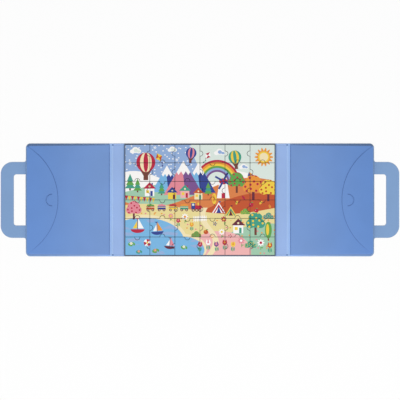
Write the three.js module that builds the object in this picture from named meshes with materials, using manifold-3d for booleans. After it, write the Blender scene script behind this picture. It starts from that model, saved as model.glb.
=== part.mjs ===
// A magnetic jigsaw in a folding plastic carry case, opened flat on its back.
// Millimetres. +X runs along the open case, +Y to its top edge, +Z up from the table.
// The cover is one plastic sheet with five creases: the board lies on its middle, two spine strips and two
// panels with pockets and handles follow on each side. The right side is drawn, and the left one mirrors it.

import * as THREE from 'three';
import { mergeVertices } from 'three/addons/utils/BufferGeometryUtils.js';
import Module from 'manifold-3d';

// Puzzle
const columns = 6;
const rows = 6;
const pieceWidth = 50;
const pieceDepth = 37;
const pieceThickness = 2;
const pieceGap = 0.3;
const pieceCorner = 1.2;
const tabRadius = 5;
const tabNeck = 0.9;

// Which way each tab points. Across the upright cuts, > is to the right. Across the level cuts, v is down.
const uprightTabs = ['<<>><', '><>>>', '<<><<', '<>><<', '>>>><', '<<<>>'];
const levelTabs = ['v^vv^^', '^v^v^v', 'vvv^vv', '^^vv^v', 'v^v^^^'];

// Board
const boardRim = 0.5;
const coreThickness = 2;
const steelThickness = 0.4;
const steelInset = 1;
const faceThickness = 0.25;
const glueLine = 0.05;

// Cover sheet and its creases
const sheetThickness = 1;
const sheetMargin = 1.5;
const webThickness = 0.35;
const foldSlit = 0.5;
const foldClearance = 0.15;
const wellRadius = 1.7;
const wellInset = 3;
const boardToCrease = 1.9;
const spineWidth = 21.9;
const panelOverhang = 21.4;
const coverCorner = 9;

// Handle
const holeLand = 0.6;
const holeReach = 23.4;
const holeLength = 102;
const holeCorner = 5;
const strapWidth = 26.4;
const armWidth = 25;
const handleCorner = 24;
const neckFillet = 4;

// Pocket
const pocketSetback = 5.8;
const trayMargin = 2.8;
const traySideMargin = 2;
const sideLean = 3;
const hingeLean = 1.2;
const trayWall = 0.8;
const trayFloor = 0.8;
const cavityDepth = 5;
const frontThickness = 0.8;
const frontRound = 0.6;
const mouthRim = 3;
const mouthWidth = 20;
const mouthCover = 5;
const mouthCorner = 4;
const thumbRadius = 13;

// Flap
const flapThickness = 0.8;
const flapDepth = 62.4;
const flapEndInset = 0.7;
const flapRest = 0.1;
const flapWeb = 0.4;
const flapCrease = 1.6;
const moonRadius = 12.2;
const moonSlit = 1.2;

// Facets of the round stretches
const tabSteps = 12;
const pieceCornerSteps = 2;
const cornerSteps = 6;
const handleSteps = 10;
const moonSteps = 16;
const flapSteps = 36;
const wellSteps = 16;

// Every cut runs this far past the surface that it opens.
const overrun = 1;

// Places along the open case, measured from the centre fold
const boardEdge = columns / 2 * pieceWidth + boardRim;
const boardCrease = boardEdge + boardToCrease;
const panelCrease = boardCrease + spineWidth;
const panelEdge = panelCrease + boardCrease + panelOverhang;
const handleEdge = panelEdge + holeLand + holeReach + strapWidth;
const trayInner = panelCrease + pocketSetback;
const trayOuter = panelEdge - trayMargin;
const flapTip = trayOuter - flapDepth;

// Places across it, measured from the middle
const boardHalf = rows / 2 * pieceDepth + boardRim;
const sheetHalf = boardHalf + sheetMargin;
const trayHalf = sheetHalf - traySideMargin;
const rimHalf = trayHalf - sideLean;
const holeHalf = holeLength / 2;
const handleHalf = holeHalf + armWidth;
const flapHalf = rimHalf - flapEndInset;

// Heights of the layers
const coreBottom = sheetThickness + glueLine;
const steelBottom = coreBottom + coreThickness + glueLine;
const faceBottom = steelBottom + steelThickness + glueLine;
const pieceBottom = faceBottom + faceThickness + glueLine;
const trayBottom = sheetThickness + glueLine;
const cavityBottom = trayBottom + trayFloor;
const trayRim = cavityBottom + cavityDepth;
const frontBottom = trayRim + glueLine;
const frontTop = frontBottom + frontThickness;
const flapBottom = frontTop + flapRest;

// A crease's groove is just wide enough for its two edges to meet at a right angle over the web.
const grooveHalf = sheetThickness - webThickness / 2 + foldClearance;

const quarterTurn = Math.PI / 2;

const wasm = await Module();
wasm.setup();

function solidOf(geometry) {
  const bare = geometry.clone();
  bare.deleteAttribute('normal');
  bare.deleteAttribute('uv');
  const merged = mergeVertices(bare);
  return new wasm.Manifold(new wasm.Mesh({
    numProp: 3,
    vertProperties: merged.attributes.position.array,
    triVerts: new Uint32Array(merged.index.array),
  }));
}

function geometryOf(solid) {
  const { vertProperties, triVerts } = solid.getMesh();
  const geometry = new THREE.BufferGeometry();
  geometry.setAttribute('position', new THREE.BufferAttribute(vertProperties, 3));
  geometry.setIndex(new THREE.BufferAttribute(triVerts, 1));
  geometry.computeVertexNormals();
  return geometry;
}

// Points of an arc in the plan, ends included
function arc(x, y, radius, from, to, steps) {
  const points = [];
  for (let i = 0; i <= steps; i += 1) {
    const angle = from + (to - from) * i / steps;
    points.push(new THREE.Vector2(x + radius * Math.cos(angle), y + radius * Math.sin(angle)));
  }
  return points;
}

// A plan outline with square corners on the fold's side and round ones on the outer side
function roundEnded(inner, outer, half, corner) {
  return [
    new THREE.Vector2(inner, -half),
    ...arc(outer - corner, -half + corner, corner, -quarterTurn, 0, cornerSteps),
    ...arc(outer - corner, half - corner, corner, 0, quarterTurn, cornerSteps),
    new THREE.Vector2(inner, half),
  ];
}

// A plan outline with four round corners
function roundCornered(inner, outer, half, corner) {
  const [left, right, near, far] = [inner + corner, outer - corner, corner - half, half - corner];
  return [
    ...arc(left, near, corner, -2 * quarterTurn, -quarterTurn, cornerSteps),
    ...arc(right, near, corner, -quarterTurn, 0, cornerSteps),
    ...arc(right, far, corner, 0, quarterTurn, cornerSteps),
    ...arc(left, far, corner, quarterTurn, 2 * quarterTurn, cornerSteps),
  ];
}

function plate(outline, bottom, thickness) {
  const shape = new THREE.Shape(outline);
  const geometry = new THREE.ExtrudeGeometry(shape, { depth: thickness, bevelEnabled: false });
  return geometry.translate(0, 0, bottom);
}

// A plate whose outline changes evenly from its lower face to its upper one
function loft(lower, upper, bottom, top) {
  const count = lower.length;
  const places = [...lower.map((p) => [p.x, p.y, bottom]), ...upper.map((p) => [p.x, p.y, top])];
  const faces = [];
  THREE.ShapeUtils.triangulateShape(lower, []).forEach(([a, b, c]) => faces.push(a, c, b));
  THREE.ShapeUtils.triangulateShape(upper, []).forEach((corners) => faces.push(...corners.map((c) => count + c)));
  for (let i = 0; i < count; i += 1) {
    const next = (i + 1) % count;
    faces.push(i, next, count + next, i, count + next, count + i);
  }
  const geometry = new THREE.BufferGeometry();
  geometry.setAttribute('position', new THREE.Float32BufferAttribute(places.flat(), 3));
  geometry.setIndex(faces);
  return geometry;
}

function block(fromX, toX, half, bottom, top) {
  const geometry = new THREE.BoxGeometry(toX - fromX, 2 * half, top - bottom);
  return geometry.translate((fromX + toX) / 2, 0, (bottom + top) / 2);
}

// Opens one crease in a zone of the sheet: the slit on the fold's axis and the groove above the web.
function creased(solid, crease) {
  const half = sheetHalf + overrun;
  const top = sheetThickness + overrun;
  const slit = block(crease - foldSlit / 2, crease + foldSlit / 2, half, -overrun, top);
  const groove = block(crease - grooveHalf, crease + grooveHalf, half, webThickness, top);
  return solid.subtract(solidOf(slit)).subtract(solidOf(groove));
}

// The crease beside a panel has a round well near each end, pressed down to the web.
function welled(solid, crease) {
  const top = sheetThickness + overrun;
  let pressed = solid;
  for (const end of [-1, 1]) {
    const well = new THREE.CylinderGeometry(wellRadius, wellRadius, top - webThickness, wellSteps);
    well.rotateX(quarterTurn);
    well.translate(crease, end * (sheetHalf - wellInset), (top + webThickness) / 2);
    pressed = pressed.subtract(solidOf(well));
  }
  return pressed;
}

function sheetZone(from, to) {
  const zone = solidOf(block(from, to, sheetHalf, 0, sheetThickness));
  return creased(creased(zone, from), to);
}

// The panel and its handle are cut from the sheet in one outline, with the hand hole inside the loop.
function coverPanel() {
  const corner = Math.min(handleCorner, handleHalf, handleEdge - panelEdge - neckFillet);
  const neck = panelEdge + neckFillet;
  const neckHalf = handleHalf + neckFillet;
  const outline = [
    new THREE.Vector2(panelCrease, -sheetHalf),
    ...arc(panelEdge - coverCorner, -sheetHalf + coverCorner, coverCorner, -quarterTurn, 0, cornerSteps),
    ...arc(neck, -neckHalf, neckFillet, 2 * quarterTurn, quarterTurn, cornerSteps),
    ...arc(handleEdge - corner, -handleHalf + corner, corner, -quarterTurn, 0, handleSteps),
    ...arc(handleEdge - corner, handleHalf - corner, corner, 0, quarterTurn, handleSteps),
    ...arc(neck, neckHalf, neckFillet, -quarterTurn, -2 * quarterTurn, cornerSteps),
    ...arc(panelEdge - coverCorner, sheetHalf - coverCorner, coverCorner, 0, quarterTurn, cornerSteps),
    new THREE.Vector2(panelCrease, sheetHalf),
  ];
  const holeStart = panelEdge + holeLand;
  const hole = plate(
    roundEnded(holeStart, holeStart + holeReach, holeHalf, holeCorner),
    -overrun,
    sheetThickness + 2 * overrun,
  );
  const sheet = solidOf(plate(outline, 0, sheetThickness)).subtract(solidOf(hole));
  return geometryOf(welled(creased(sheet, panelCrease), panelCrease));
}

// The pocket's outline at a height. Its long walls lean in towards the rim, as does its wall at the crease.
function trayOutline(height, inset) {
  const lean = (height - trayBottom) / (trayRim - trayBottom);
  const corner = Math.max(coverCorner - trayMargin, trayWall + glueLine) - inset;
  return roundEnded(
    trayInner + inset + lean * hingeLean,
    trayOuter - inset,
    trayHalf - inset - lean * sideLean,
    corner,
  );
}

function pocketTray() {
  const top = trayRim + overrun;
  const outside = loft(trayOutline(trayBottom, 0), trayOutline(trayRim, 0), trayBottom, trayRim);
  const inside = loft(trayOutline(cavityBottom, trayWall), trayOutline(top, trayWall), cavityBottom, top);
  return geometryOf(solidOf(outside).subtract(solidOf(inside)));
}

// The flap's free edge is one arc through its tip and the two ends of its hinge.
const flapRadius = (flapDepth ** 2 + flapHalf ** 2) / (2 * flapDepth);
const flapCentre = flapTip + flapRadius;

function flapHalfAt(x) {
  return Math.sqrt(flapRadius ** 2 - (flapCentre - x) ** 2);
}

// The mouth is a slot under the flap, with a thumb notch in its inner edge.
function pocketFront() {
  const mouthOuter = trayOuter - mouthRim;
  const mouthInner = mouthOuter - mouthWidth;
  const mouthHalf = flapHalfAt(mouthInner) - mouthCover;
  const sheet = loft(trayOutline(trayRim, 0), trayOutline(trayRim, frontRound), frontBottom, frontTop);
  const cutBottom = frontBottom - overrun;
  const cutHeight = frontThickness + 2 * overrun;
  const slot = plate(roundCornered(mouthInner, mouthOuter, mouthHalf, mouthCorner), cutBottom, cutHeight);
  const notch = plate(
    arc(mouthInner, 0, thumbRadius, quarterTurn, 3 * quarterTurn, moonSteps).concat([
      new THREE.Vector2(mouthInner + mouthWidth / 2, -thumbRadius),
      new THREE.Vector2(mouthInner + mouthWidth / 2, thumbRadius),
    ]),
    cutBottom,
    cutHeight,
  );
  return geometryOf(solidOf(sheet).subtract(solidOf(slot)).subtract(solidOf(notch)));
}

function flap() {
  const reach = Math.acos((flapCentre - trayOuter) / flapRadius);
  const outline = arc(flapCentre, 0, flapRadius, 2 * quarterTurn - reach, 2 * quarterTurn + reach, flapSteps);
  const sheet = solidOf(plate(outline, flapBottom, flapThickness));
  const cutTop = flapBottom + flapThickness + overrun;
  const crease = block(
    trayOuter - flapCrease,
    trayOuter + overrun,
    flapHalf + overrun,
    flapBottom + flapWeb,
    cutTop,
  );
  const moonX = flapTip + moonRadius;
  const moon = plate(
    [
      ...arc(moonX, 0, moonRadius, -quarterTurn, quarterTurn, moonSteps),
      ...arc(moonX, 0, moonRadius - moonSlit, quarterTurn, -quarterTurn, moonSteps),
    ],
    flapBottom - overrun,
    flapThickness + 2 * overrun,
  );
  return geometryOf(sheet.subtract(solidOf(crease)).subtract(solidOf(moon)));
}

// One side of a piece from corner to corner, along +X with the piece on its left, before it is turned into
// place. A tab stands out of the side, a hollow goes into it, and half the gap is taken from both.
function pieceSide(length, sign) {
  const inset = pieceGap / 2;
  const half = length / 2;
  const side = arc(-half + inset + pieceCorner, inset + pieceCorner, pieceCorner,
    -2 * quarterTurn, -quarterTurn, pieceCornerSteps);
  if (sign === 0) return side;
  const radius = tabRadius - sign * inset;
  const depth = -sign * tabNeck;
  side.push(new THREE.Vector2(-radius, inset));
  if (sign > 0) side.push(...arc(0, depth, radius, -2 * quarterTurn, 0, tabSteps));
  else side.push(...arc(0, depth, radius, 2 * quarterTurn, 0, tabSteps));
  side.push(new THREE.Vector2(radius, inset));
  return side;
}

// The sign of a tab on one side: 1 where it stands out of this piece, -1 where the neighbour's goes in,
// and 0 on the edge of the puzzle.
function tabSign(table, line, place, outward) {
  const mark = table[line]?.[place];
  if (mark === undefined) return 0;
  return mark === outward ? 1 : -1;
}

function puzzlePiece(row, column) {
  const signs = [
    tabSign(levelTabs, row, column, 'v'),
    tabSign(uprightTabs, row, column, '>'),
    tabSign(levelTabs, row - 1, column, '^'),
    tabSign(uprightTabs, row, column - 1, '<'),
  ];
  const outline = [];
  signs.forEach((sign, turn) => {
    const upright = turn % 2 === 1;
    const length = upright ? pieceDepth : pieceWidth;
    const toSide = (upright ? pieceWidth : pieceDepth) / 2;
    for (const point of pieceSide(length, sign)) {
      point.y -= toSide;
      outline.push(point.rotateAround(new THREE.Vector2(), turn * quarterTurn));
    }
  });
  return plate(outline, pieceBottom, pieceThickness);
}

function finish(color, roughness, metalness = 0) {
  return new THREE.MeshStandardMaterial({ color, roughness, metalness });
}

const coverBlue = finish(0x7f9cc4, 0.45);
const spineBlue = finish(0x98b4dd, 0.4);
const pocketBlue = finish(0x6f93ca, 0.4);
const greyboard = finish(0x9a958c, 0.9);
const tinplate = finish(0xb4b7ba, 0.35, 1);
const faceLaminate = finish(0x4d5868, 0.6);
const printedTones = [0xcfe3e4, 0xe9b88f, 0xe8dc93, 0x9cc9b2, 0xe3aeb4, 0x8fbfe0];

const magneticPuzzle = new THREE.Group();

function add(group, name, geometry, material) {
  const mesh = new THREE.Mesh(geometry, material);
  mesh.name = name;
  group.add(mesh);
}

// One half of the case, from the centre fold to the handle
function caseHalf(side) {
  const half = new THREE.Group();
  const boardStart = foldSlit / 2;
  const boardLayer = (inset, bottom, thickness) =>
    block(boardStart + inset, boardEdge - inset, boardHalf - inset, bottom, bottom + thickness);
  add(half, `${side}_back_sheet`, geometryOf(sheetZone(0, boardCrease)), coverBlue);
  const strip = welled(sheetZone(boardCrease, panelCrease), panelCrease);
  add(half, `${side}_spine_strip`, geometryOf(strip), spineBlue);
  add(half, `${side}_cover_panel`, coverPanel(), coverBlue);
  add(half, `${side}_board_core`, boardLayer(0, coreBottom, coreThickness), greyboard);
  add(half, `${side}_steel_sheet`, boardLayer(steelInset, steelBottom, steelThickness), tinplate);
  add(half, `${side}_board_face`, boardLayer(0, faceBottom, faceThickness), faceLaminate);
  add(half, `${side}_pocket_tray`, pocketTray(), pocketBlue);
  add(half, `${side}_pocket_front`, pocketFront(), pocketBlue);
  add(half, `${side}_flap`, flap(), pocketBlue);
  return half;
}

const rightHalf = caseHalf('right');
const leftHalf = caseHalf('left');
leftHalf.scale.x = -1;
magneticPuzzle.add(leftHalf, rightHalf);

for (let row = 0; row < rows; row += 1) {
  for (let column = 0; column < columns; column += 1) {
    const place = new THREE.Group();
    place.position.x = (column - (columns - 1) / 2) * pieceWidth;
    place.position.y = ((rows - 1) / 2 - row) * pieceDepth;
    const tone = printedTones[row % printedTones.length];
    add(place, `puzzle_piece_r${row + 1}_c${column + 1}`, puzzlePiece(row, column), finish(tone, 0.5));
    magneticPuzzle.add(place);
  }
}

export default magneticPuzzle;
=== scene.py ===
import math

import bmesh
import bpy
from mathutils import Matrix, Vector

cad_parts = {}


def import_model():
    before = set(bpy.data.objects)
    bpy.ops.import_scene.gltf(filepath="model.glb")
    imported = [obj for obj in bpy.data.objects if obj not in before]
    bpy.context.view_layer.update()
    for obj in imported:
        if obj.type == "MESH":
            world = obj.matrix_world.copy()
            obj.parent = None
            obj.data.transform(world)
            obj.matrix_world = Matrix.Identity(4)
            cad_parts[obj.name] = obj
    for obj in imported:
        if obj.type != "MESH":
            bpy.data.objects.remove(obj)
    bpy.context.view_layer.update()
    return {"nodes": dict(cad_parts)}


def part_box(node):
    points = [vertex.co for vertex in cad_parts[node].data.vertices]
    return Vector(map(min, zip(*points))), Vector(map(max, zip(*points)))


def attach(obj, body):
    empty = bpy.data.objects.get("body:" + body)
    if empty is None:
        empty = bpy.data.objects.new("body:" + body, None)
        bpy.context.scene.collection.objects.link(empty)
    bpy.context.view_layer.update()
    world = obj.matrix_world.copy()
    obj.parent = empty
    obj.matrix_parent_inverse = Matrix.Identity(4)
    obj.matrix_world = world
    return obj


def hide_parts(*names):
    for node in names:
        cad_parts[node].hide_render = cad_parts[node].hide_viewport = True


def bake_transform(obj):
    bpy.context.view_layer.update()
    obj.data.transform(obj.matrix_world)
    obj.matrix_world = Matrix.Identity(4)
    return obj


# A magnetic jigsaw in a folding plastic carry case, laid open on a pale floor and seen from straight above.
# Metres, +X along the open case, +Y to its top edge, +Z up. The right side is modelled, and mirrored for
# the left.

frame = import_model()

MM = 0.001
QUARTER = math.pi / 2

# Sizes of the case
WEB = 0.35 * MM
GROOVE_HALF = 0.975 * MM
GROOVE_LIP = 0.35 * MM
WEB_STEPS = 10
WELL_RADIUS = 1.7 * MM
WELL_INSET = 3 * MM
# Where the painted shade in a well fades out and where it is full, as shares of the well's radius
WELL_SHADE_FADE_SHARE = 1.1
WELL_SHADE_FULL_SHARE = 0.8
EDGE_ROUND = 0.18 * MM
TRIM_WIDTH = 1.1 * MM
TRIM_DROP = 0.14 * MM
TRAY_MARGIN = 2.8 * MM
COVER_CORNER = 9 * MM
HOLE_LAND = 0.6 * MM
HOLE_REACH = 23.4 * MM
HOLE_HALF = 51 * MM
HOLE_CORNER = 5 * MM
HANDLE_HALF = 76 * MM
HANDLE_CORNER = 24 * MM
NECK_FILLET = 4 * MM
WELD_INSET = 3.6 * MM
WELD_WIDTH = 0.9 * MM
WELD_DEPTH = 0.25 * MM
CREASE_TURN = 5 * MM

# Sizes of the pocket
RIM_LEAN = 3 * MM
CREASE_RIM_LEAN = 1.5 * MM
FOLD_LEAN = 1.2 * MM
RIM_STEPS = 6
POCKET_CORNER = 6.2 * MM
POCKET_WALL = 0.8 * MM
RIM_ROUND = 1.1 * MM
MOUTH_RIM = 3 * MM
MOUTH_WIDTH = 20 * MM
MOUTH_HALF = 85.4 * MM
MOUTH_CORNER = 4 * MM
THUMB_RADIUS = 13 * MM
MOON_RADIUS = 12.2 * MM
MOON_SLIT = 1.2 * MM
MOON_PRESS = 0.4 * MM
FLAP_RIM = 1.6 * MM
FLAP_DROP = 0.3 * MM
BEAD_RADIUS = 0.75 * MM
BEAD_OUT = 0.35 * MM
# How far the painted shade at the pocket's rim and at the flap's corners takes to fade
FOLD_SHADE_FADE = 50 * MM
FLAP_SHADE_FADE = 20 * MM

# Sizes of the puzzle
COLUMNS = 6
ROWS = 6
PIECE_GAP = 0.3 * MM
PIECE_CORNER = 1.2 * MM
TAB_RADIUS = 5 * MM
TAB_NECK = 0.9 * MM
NOSE_SHARE = 0.995
RIM_PRESS = 0.45 * MM
BORDER = 0.95 * MM
MAGNET_SHARE = 0.28
MAGNET_BLEND = 0.1 * MM
THREAD_TURNS = 9000

# Which way each tab points. Across the upright cuts, > is to the right. Across the level cuts, v is down.
UPRIGHT_TABS = ("<<>><", "><>>>", "<<><<", "<>><<", ">>>><", "<<<>>")
LEVEL_TABS = ("v^vv^^", "^v^v^v", "vvv^vv", "^^vv^v", "v^v^^^")

# How far a cutting tool runs past the piece, and how near places are that count as one
OVERRUN = 1 * MM
CLOSE = 0.01 * MM

# From where a normal counts as upward, and the angles up to which faces are one, or are shaded smooth
UPWARD = 0.9
FLAT_ANGLE = math.radians(0.5)
SHARP_ANGLE = math.radians(55)
SMOOTH_ANGLE = math.radians(40)
WEB_SMOOTH_ANGLE = math.radians(60)

# Light and camera
FLOOR_SIZE = 12
FLOOR_DROP = 0.1 * MM
FLOOR_WHITE = 0.9
FLOOR_CLEAR = 0.9
ROOM_LIGHT = 0.515
PIXEL = 2 * MM
IMAGE_WIDTH = 400
CAMERA_PLACE = Vector((0.1 * MM, -0.2 * MM, 3.0))
SENSOR_WIDTH = 36

# Places that the frame gives
panel_low, panel_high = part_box("right_cover_panel")
strip_low, strip_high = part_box("right_spine_strip")
tray_low, tray_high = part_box("right_pocket_tray")
flap_low, flap_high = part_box("right_flap")
board_crease = (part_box("right_back_sheet")[1].x + strip_low.x) / 2
panel_crease = (strip_high.x + panel_low.x) / 2
panel_edge = tray_high.x + TRAY_MARGIN
handle_edge = panel_high.x
sheet_half = panel_high.y
sheet_top = panel_high.z
pocket_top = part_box("right_pocket_front")[1].z
board_low, board_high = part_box("puzzle_piece_r6_c1")[0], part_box("puzzle_piece_r1_c6")[1]
board_wide = board_high.x - board_low.x + PIECE_GAP
board_deep = board_high.y - board_low.y + PIECE_GAP
piece_wide = board_wide / COLUMNS
piece_deep = board_deep / ROWS
piece_foot, piece_top = board_low.z, board_high.z


# Modelling

def select_only(piece):
    bpy.ops.object.select_all(action="DESELECT")
    piece.select_set(True)
    bpy.context.view_layer.objects.active = piece


def settle(piece):
    """Puts the piece's place, turn and scale into its mesh."""
    select_only(piece)
    bpy.ops.object.transform_apply(location=True, rotation=True, scale=True)


def added(name):
    """The piece that was just added, named and settled."""
    piece = bpy.context.object
    piece.name = name
    settle(piece)
    return piece


def block(name, low, high):
    bpy.ops.object.select_all(action="DESELECT")
    low, high = Vector(low), Vector(high)
    bpy.ops.mesh.primitive_cube_add(size=1, location=(low + high) / 2, scale=high - low)
    return added(name)


def rod(name, place, radius, length, sides, lying=False):
    bpy.ops.object.select_all(action="DESELECT")
    turn = (QUARTER, 0, 0) if lying else (0, 0, 0)
    bpy.ops.mesh.primitive_cylinder_add(
        vertices=sides, radius=radius, depth=length, location=place, rotation=turn)
    return added(name)


def copied(piece, name):
    """A copy with its own mesh."""
    select_only(piece)
    bpy.ops.object.duplicate(linked=False)
    twin = bpy.context.object
    twin.name = name
    return twin


def edit_all(piece):
    """Goes into edit mode with everything selected."""
    select_only(piece)
    bpy.ops.object.mode_set(mode="EDIT")
    bpy.ops.mesh.select_all(action="SELECT")


def edit_some(piece, kind, chosen):
    """Goes into edit mode with only the chosen vertices, edges or faces selected."""
    select_only(piece)
    bpy.ops.object.mode_set(mode="EDIT")
    bpy.ops.mesh.select_mode(type=kind)
    bpy.ops.mesh.select_all(action="DESELECT")
    shape = bmesh.from_edit_mesh(piece.data)
    for item in {"VERT": shape.verts, "EDGE": shape.edges, "FACE": shape.faces}[kind]:
        if chosen(item):
            item.select_set(True)
    shape.select_flush_mode()
    bmesh.update_edit_mesh(piece.data)


def close_edit():
    bpy.ops.object.mode_set(mode="OBJECT")


def near(value, place):
    return abs(value - place) < CLOSE


def upright(edge, x=None, y=None):
    """True for an edge that stands upright, at this x and at this distance from the middle."""
    a, b = (v.co for v in edge.verts)
    stands = near(a.x, b.x) and near(a.y, b.y)
    return stands and (x is None or near(a.x, x)) and (y is None or near(abs(a.y), y))


def level(edge, z):
    """True for an edge that lies at this height."""
    return all(near(v.co.z, z) for v in edge.verts)


def faces_up(face):
    return face.normal.z > UPWARD


def on_rim(edge, z):
    """True for an edge at this height where a flat top ends."""
    return level(edge, z) and not all(faces_up(face) for face in edge.link_faces)


def round_edges(piece, chosen, radius, segments):
    edit_some(piece, "EDGE", chosen)
    bpy.ops.mesh.bevel(
        offset=radius, offset_type="OFFSET", segments=segments, affect="EDGES", clamp_overlap=False)
    close_edit()


def apply_modifier(piece, kind, **settings):
    modifier = piece.modifiers.new(kind.lower(), kind)
    for name, value in settings.items():
        setattr(modifier, name, value)
    select_only(piece)
    bpy.ops.object.modifier_apply(modifier=modifier.name)


def combine(piece, tool, operation, keep_tool=False):
    apply_modifier(piece, "BOOLEAN", operation=operation, object=tool, solver="EXACT")
    if not keep_tool:
        bpy.data.objects.remove(tool)


def cut(piece, tool):
    combine(piece, tool, "DIFFERENCE")


def trim(piece, x, side):
    """Takes off what lies beyond this x, to the right for side 1 and to the left for -1."""
    edit_all(piece)
    bpy.ops.mesh.bisect(plane_co=(x, 0, 0), plane_no=(side, 0, 0), use_fill=True, clear_outer=True)
    close_edit()


def slice_across(piece, x):
    """Adds a loop of edges round the piece at this x."""
    edit_all(piece)
    bpy.ops.mesh.bisect(plane_co=(x, 0, 0), plane_no=(1, 0, 0))
    close_edit()


def face_outward(piece):
    edit_all(piece)
    bpy.ops.mesh.normals_make_consistent(inside=False)
    close_edit()


def tidy_faces(piece):
    """Joins the flat faces that a cut has split, and turns every face outward."""
    edit_all(piece)
    bpy.ops.mesh.remove_doubles(threshold=CLOSE / 10)
    bpy.ops.mesh.dissolve_limited(angle_limit=FLAT_ANGLE)
    bpy.ops.mesh.normals_make_consistent(inside=False)
    close_edit()


def soften(piece, width):
    """Rounds every sharp edge a little."""
    apply_modifier(piece, "BEVEL", width=width, segments=2, limit_method="ANGLE",
                   angle_limit=SHARP_ANGLE, use_clamp_overlap=True)


def shade(piece):
    select_only(piece)
    bpy.ops.object.shade_smooth_by_angle(angle=SMOOTH_ANGLE)
    apply_modifier(piece, "WEIGHTED_NORMAL", mode="FACE_AREA", keep_sharp=True)


def mirrored(piece):
    """A copy on the left side. A negative scale turns its faces inward, so they are turned back."""
    twin = copied(piece, piece.name.replace("right_", "left_"))
    twin.scale.x = -1
    settle(twin)
    edit_all(twin)
    bpy.ops.mesh.flip_normals()
    close_edit()
    return twin


# Case

def half_cover():
    """The plastic sheet from the centre fold to the handle, with a rolled trim round its outline."""
    under = sheet_top - TRIM_DROP
    cover = block("cover", (-COVER_CORNER, -sheet_half, 0), (panel_edge, sheet_half, under))
    round_edges(cover, lambda e: upright(e, panel_edge, sheet_half), COVER_CORNER, segments=12)
    handle = block("handle", (panel_edge - OVERRUN, -HANDLE_HALF, 0), (handle_edge, HANDLE_HALF, under))
    round_edges(handle, lambda e: upright(e, handle_edge, HANDLE_HALF), HANDLE_CORNER, segments=24)
    combine(cover, handle, "UNION")
    tidy_faces(cover)
    round_edges(cover, lambda e: upright(e, panel_edge, HANDLE_HALF), NECK_FILLET, segments=8)
    cut(cover, hand_hole())
    tidy_faces(cover)
    edit_some(cover, "FACE", faces_up)
    bpy.ops.mesh.inset(thickness=TRIM_WIDTH, depth=TRIM_DROP, use_boundary=True, use_even_offset=True)
    close_edit()
    return cover


def hand_hole():
    start = panel_edge + HOLE_LAND
    end = start + HOLE_REACH
    hole = block("hand_hole", (start, -HOLE_HALF, -OVERRUN), (end, HOLE_HALF, sheet_top + OVERRUN))
    round_edges(hole, lambda e: upright(e, end, HOLE_HALF), HOLE_CORNER, segments=10)
    return hole


def zone_of(cover, name, start, end):
    """One zone of the cover, trimmed off at the grooves on both sides of it."""
    zone = copied(cover, name)
    trim(zone, start, -1)
    trim(zone, end, 1)
    return zone


def press_wells(piece):
    """Presses a round well into the crease beside the panel, near each end."""
    for end in (-1, 1):
        low, high = WEB + 2 * CLOSE, sheet_top + OVERRUN
        place = (panel_crease, end * (sheet_half - WELL_INSET), (low + high) / 2)
        cut(piece, rod("pin", place, WELL_RADIUS, high - low, sides=24))


def press_weld(piece, start, end):
    """Presses a narrow line into the top of the sheet, along each of its long edges."""
    for side in (-1, 1):
        line = side * (sheet_half - WELD_INSET)
        cut(piece, block(
            "weld", (start, line - WELD_WIDTH / 2, sheet_top - WELD_DEPTH),
            (end, line + WELD_WIDTH / 2, sheet_top + OVERRUN)))


def backing(cover):
    return zone_of(cover, "right_backing", GROOVE_HALF, board_crease - GROOVE_HALF)


def spine(cover):
    strip = zone_of(cover, "right_spine", board_crease + GROOVE_HALF, panel_crease - GROOVE_HALF)
    press_weld(strip, board_crease, panel_crease)
    press_wells(strip)
    return strip


def handle_panel(cover):
    panel = zone_of(cover, "right_handle_panel", panel_crease + GROOVE_HALF, handle_edge + OVERRUN)
    press_weld(panel, panel_crease, tray_low.x - WELD_WIDTH)
    press_wells(panel)
    return panel


def web(name, crease):
    """The thin part of the sheet that bends at a crease. Its edges run a little way into both zones."""
    reach = GROOVE_HALF + GROOVE_LIP
    strip = block(name, (crease - reach, -sheet_half, 0), (crease + reach, sheet_half, WEB))
    for step in range(1, WEB_STEPS):
        slice_across(strip, crease + GROOVE_HALF * (2 * step / WEB_STEPS - 1))
    face_outward(strip)
    select_only(strip)
    bpy.ops.object.shade_smooth_by_angle(angle=WEB_SMOOTH_ANGLE)
    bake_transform(strip)
    return strip


# Pocket

def lean_in(shell, chosen, along, across):
    """Draws the chosen part of the pocket's rim in towards the middle of the handle's side."""
    edit_some(shell, "VERT", lambda v: near(v.co.z, pocket_top) and chosen(v))
    bpy.ops.transform.resize(value=(along, across, 1), center_override=(tray_high.x, 0, pocket_top))
    close_edit()


def pocket_shell():
    """The tray and its front in one, with walls that lean in and the mouth that the flap covers."""
    half = tray_high.y
    shell = block("right_pocket_shell", (tray_low.x, -half, tray_low.z), (tray_high.x, half, pocket_top))
    round_edges(shell, lambda e: upright(e, tray_high.x, half), POCKET_CORNER, segments=12)
    step = (tray_high.x - tray_low.x - POCKET_CORNER) / RIM_STEPS
    for i in range(1, RIM_STEPS):
        slice_across(shell, tray_low.x + i * step)
    lean_in(shell, lambda v: v.co.x > tray_high.x - POCKET_CORNER - CLOSE, 1, 1 - RIM_LEAN / half)
    for i in range(RIM_STEPS):
        lean = CREASE_RIM_LEAN + (RIM_LEAN - CREASE_RIM_LEAN) * i / RIM_STEPS
        lean_in(shell, lambda v: near(v.co.x, tray_low.x + i * step), 1, 1 - lean / half)
    lean_in(shell, lambda v: True, 1 - FOLD_LEAN / (tray_high.x - tray_low.x), 1)
    round_edges(shell, lambda e: on_rim(e, pocket_top), RIM_ROUND, segments=5)
    apply_modifier(shell, "SOLIDIFY", thickness=POCKET_WALL, offset=-1, use_even_offset=True)
    cut(shell, mouth_tool())
    return shell


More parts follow.
